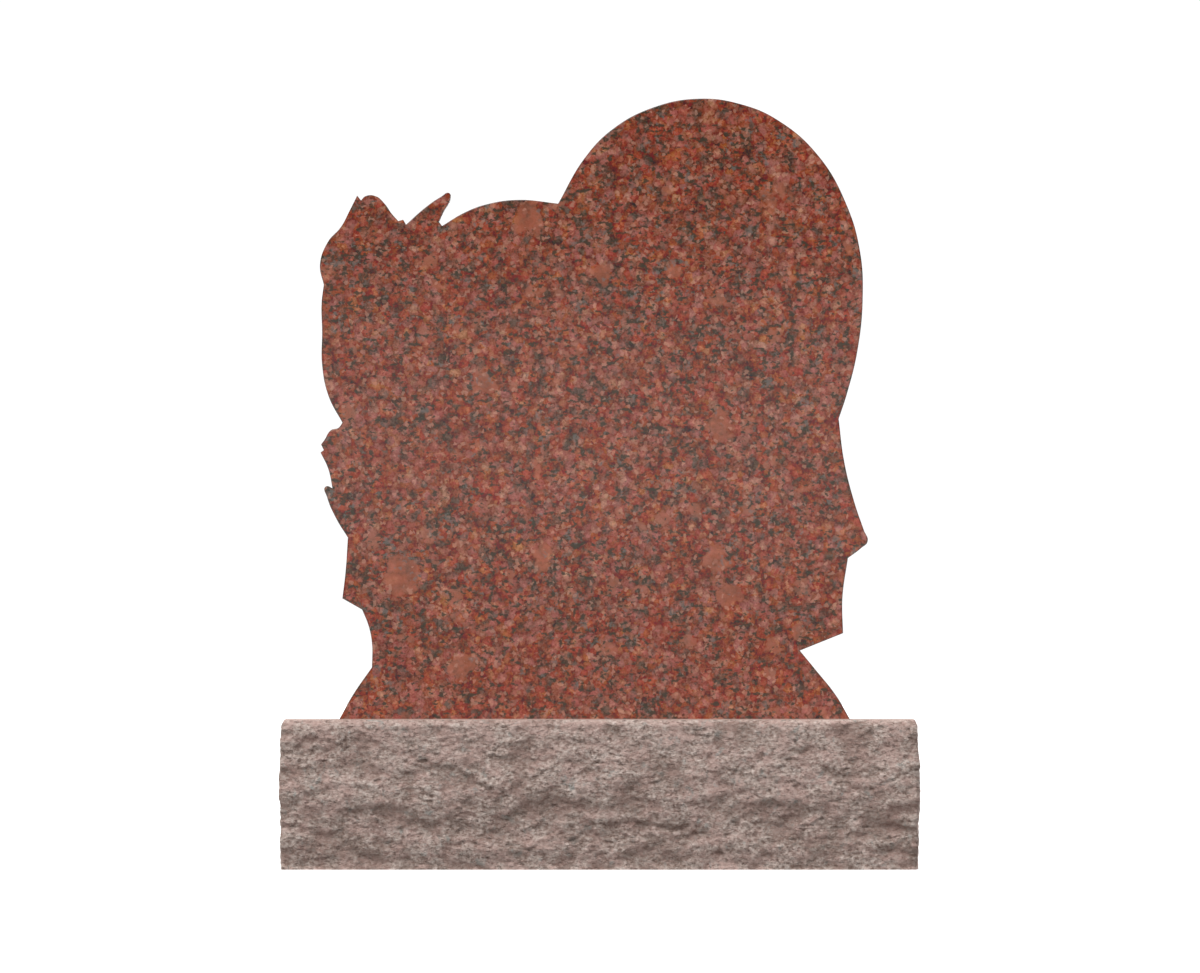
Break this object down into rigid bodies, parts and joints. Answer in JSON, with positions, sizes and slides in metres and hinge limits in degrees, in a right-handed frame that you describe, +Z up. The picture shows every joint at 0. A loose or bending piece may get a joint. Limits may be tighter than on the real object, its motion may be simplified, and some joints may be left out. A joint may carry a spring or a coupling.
{
  "type": "heart headstone",
  "caption": "Polished granite memorial tablet cut to a heart outline with a rose spray and scroll edge, on a rock-faced granite base; stands by its own weight.",
  "frame": {"origin": "middle of the base's pitched top line, on the ground, on the underside of the base", "axes": "+Z up along the tablet's height, +Y from the front face to the back face, +X to the right as seen from the front"},
  "size_m": [0.87, 0.348, 1.0466],
  "materials": {
    "polished_red_granite": "polished red granite, medium grained, with dark mica and grey quartz",
    "rock_faced_granite": "pitched rock face on the four sides, sawn top, pinkish grey"
  },
  "bodies": {
    "root": {"heart_tablet": "polished_red_granite", "rock_faced_base": "rock_faced_granite"}
  },
  "joints": []
}
